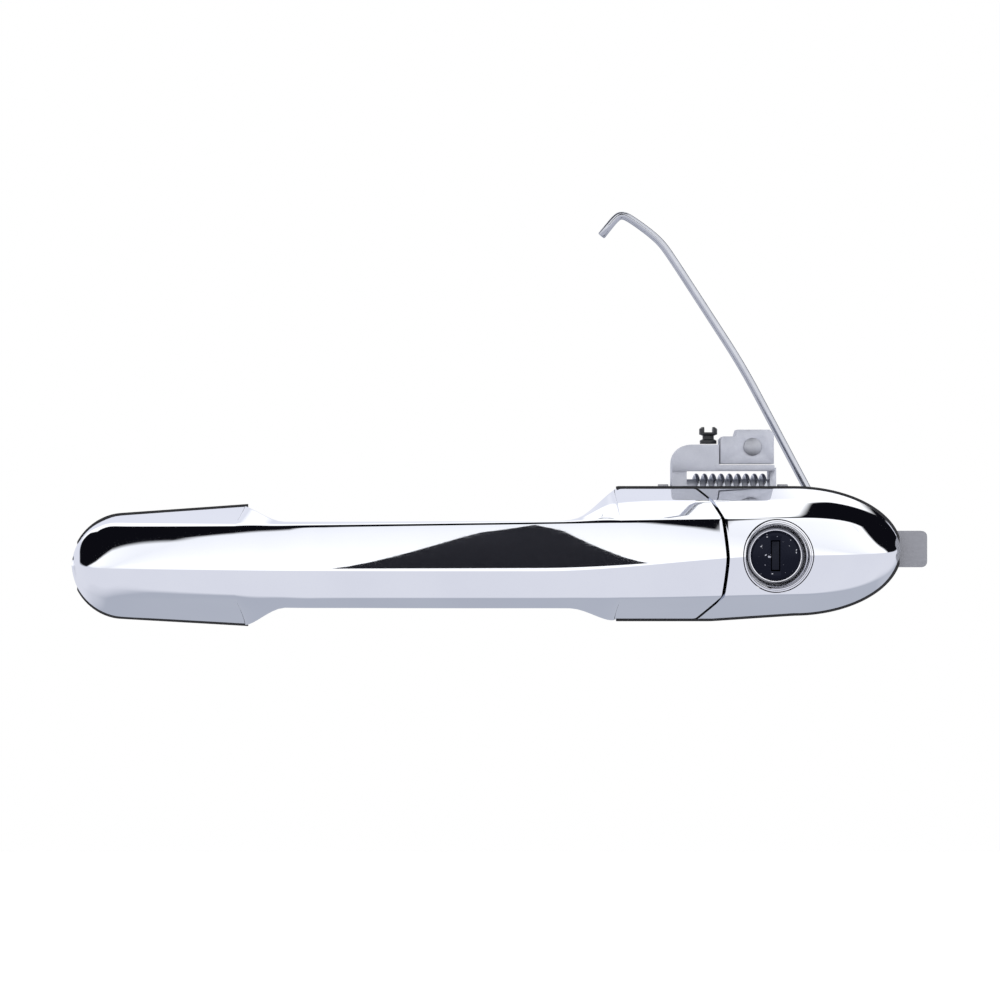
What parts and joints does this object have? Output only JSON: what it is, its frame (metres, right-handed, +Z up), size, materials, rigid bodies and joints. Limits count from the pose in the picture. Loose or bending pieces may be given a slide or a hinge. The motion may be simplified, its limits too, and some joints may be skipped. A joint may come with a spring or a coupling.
{
  "type": "car door handle",
  "caption": "Exterior strap pull handle for a car door, hinged at its front foot, with a fixed rear cap, key lock, bell crank and link rod.",
  "frame": {"origin": "centre of the carrier frame's raised contact pad, in the plane of the inner side of the door skin", "axes": "+X towards the rear of the car along the handle, -Y out of the door, +Z up"},
  "size_m": [0.2483, 0.0869, 0.1255],
  "materials": {
    "chrome_plate": "bright chrome plating on moulded ABS",
    "dark_chrome": "polished dark lock face",
    "zinc_casting": "light grey die casting",
    "plated_steel": "bright zinc plating",
    "brass": "plain turned brass",
    "grey_nylon": "glass-filled nylon",
    "black_nylon": "moulded acetal or nylon",
    "rubber": "black EPDM rubber"
  },
  "bodies": {
    "carrier": {"carrier_frame": "grey_nylon", "front_gasket": "rubber", "rear_gasket": "rubber", "cap_shell": "chrome_plate", "lock_bezel": "chrome_plate", "lock_housing": "zinc_casting", "lock_seal": "rubber", "lock_clip": "plated_steel", "hinge_pin": "plated_steel", "crank_pin": "plated_steel", "cap_screw": "plated_steel", "front_insert": "brass", "rear_insert": "brass", "crank_spring": "plated_steel", "plug_spring": "plated_steel"},
    "grip": {"grip_shell": "chrome_plate", "grip_back_cover": "chrome_plate", "front_arm": "grey_nylon", "hinge_bush": "black_nylon", "rear_leg": "grey_nylon", "arm_screw": "plated_steel", "leg_screw": "plated_steel"},
    "crank": {"bell_crank": "zinc_casting", "counterweight": "zinc_casting", "weight_rivet": "plated_steel", "crank_bush_left": "black_nylon", "crank_bush_right": "black_nylon", "latch_rod_clip": "black_nylon"},
    "plug": {"lock_plug": "dark_chrome", "lock_lever": "plated_steel", "lever_clip": "plated_steel"},
    "shutter": {"key_shutter": "plated_steel"},
    "rod": {"link_rod": "plated_steel", "rod_clip": "black_nylon"}
  },
  "joints": [
    {"name": "grip_pull", "type": "hinge", "parent": "carrier", "child": "grip", "pos_m": [-0.112, 0.012, 0], "axis": [0, 0, -1], "range_deg": [0, 7], "stiffness_Nm_per_rad": 2, "springref_deg": -2.86},
    {"name": "crank_turn", "type": "hinge", "parent": "carrier", "child": "crank", "pos_m": [0.0547, 0.016, 0.0195], "axis": [-1, 0, 0], "range_deg": [0, 49], "deforming": ["crank_spring"]},
    {"name": "key_turn", "type": "hinge", "parent": "carrier", "child": "plug", "pos_m": [0.0811, 0, 0.0022], "axis": [0, 1, 0], "range_deg": [-50, 50], "stiffness_Nm_per_rad": 0.15, "deforming": ["plug_spring"]},
    {"name": "shutter_swing", "type": "hinge", "parent": "plug", "child": "shutter", "pos_m": [0.08035, -0.0252, 0.0022], "axis": [0, 0, 1], "range_deg": [0, 75], "stiffness_Nm_per_rad": 0.0005, "springref_deg": -5.73},
    {"name": "rod_swing", "type": "hinge", "parent": "plug", "child": "rod", "pos_m": [0.1048, 0, 0.009], "axis": [0, 1, 0], "range_deg": [-30, 25]}
  ],
  "couplings": [
    {"joint": "crank_turn", "follows": "grip_pull", "ratio": 6.9}
  ]
}
